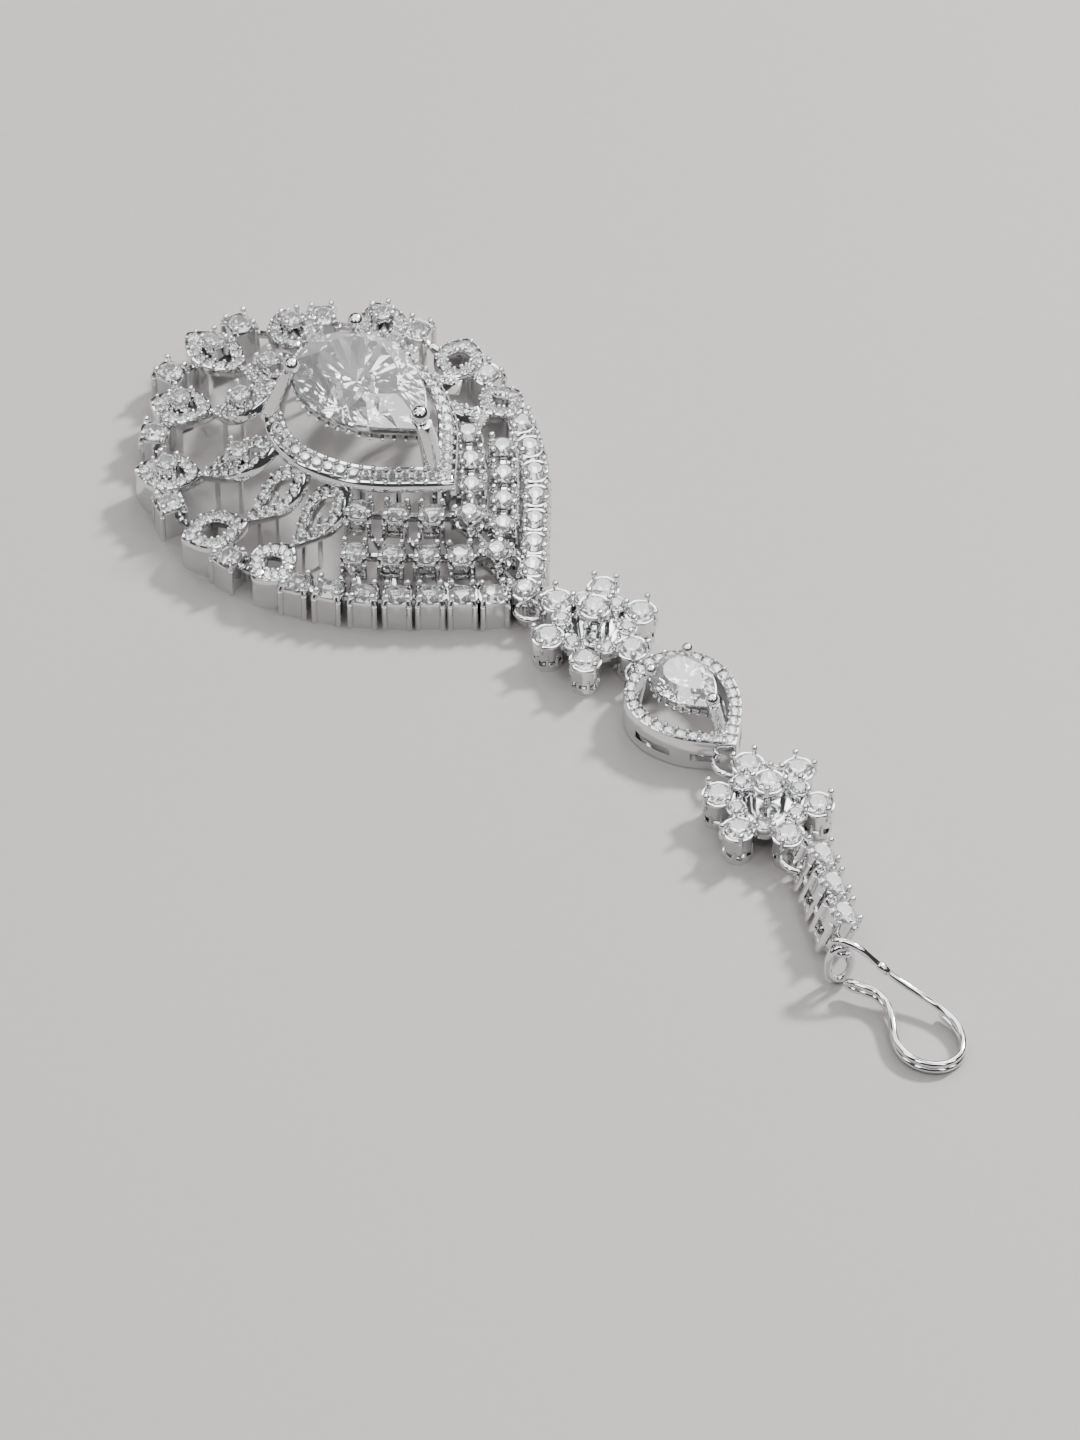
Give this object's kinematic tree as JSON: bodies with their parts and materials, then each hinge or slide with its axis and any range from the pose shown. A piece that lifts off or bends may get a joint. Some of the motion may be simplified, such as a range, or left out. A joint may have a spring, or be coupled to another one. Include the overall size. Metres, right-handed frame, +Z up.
{
  "type": "maang tikka",
  "caption": "Domed pear pendant set with clear stones, on a short chain of flower, pear and straight stone-set links that ends in a doubled wire hair hook.",
  "frame": {"origin": "on the surface it lies on, under the middle of the whole piece's box", "axes": "+X runs along the pendant's own axis from its round end to its tip, and on towards the hook; +Z points up out of the stones; +Y completes the frame"},
  "size_m": [0.1022, 0.034, 0.0156],
  "materials": {
    "bright_metal": "polished rhodium-plated brass",
    "clear_stone": "cut clear cubic zirconia"
  },
  "bodies": {
    "root": {"pendant_frame": "bright_metal", "flower_link_1": "bright_metal", "flower_link_2": "bright_metal", "pear_link": "bright_metal", "tennis_link_1": "bright_metal", "tennis_link_2": "bright_metal", "tennis_link_3": "bright_metal", "jump_ring_1": "bright_metal", "jump_ring_2": "bright_metal", "jump_ring_3": "bright_metal", "jump_ring_4": "bright_metal", "tennis_ring_1": "bright_metal", "tennis_ring_2": "bright_metal", "hair_hook": "bright_metal", "main_pear_stone": "clear_stone", "pear_link_stone": "clear_stone", "flower_1_centre_stone": "clear_stone", "flower_1_petal_stone_1": "clear_stone", "flower_1_petal_stone_2": "clear_stone", "flower_1_petal_stone_3": "clear_stone", "flower_1_petal_stone_4": "clear_stone", "flower_1_petal_stone_5": "clear_stone", "flower_1_petal_stone_6": "clear_stone", "flower_2_centre_stone": "clear_stone", "flower_2_petal_stone_1": "clear_stone", "flower_2_petal_stone_2": "clear_stone", "flower_2_petal_stone_3": "clear_stone", "flower_2_petal_stone_4": "clear_stone", "flower_2_petal_stone_5": "clear_stone", "flower_2_petal_stone_6": "clear_stone", "tennis_stone_1": "clear_stone", "tennis_stone_2": "clear_stone", "tennis_stone_3": "clear_stone"}
  },
  "joints": []
}
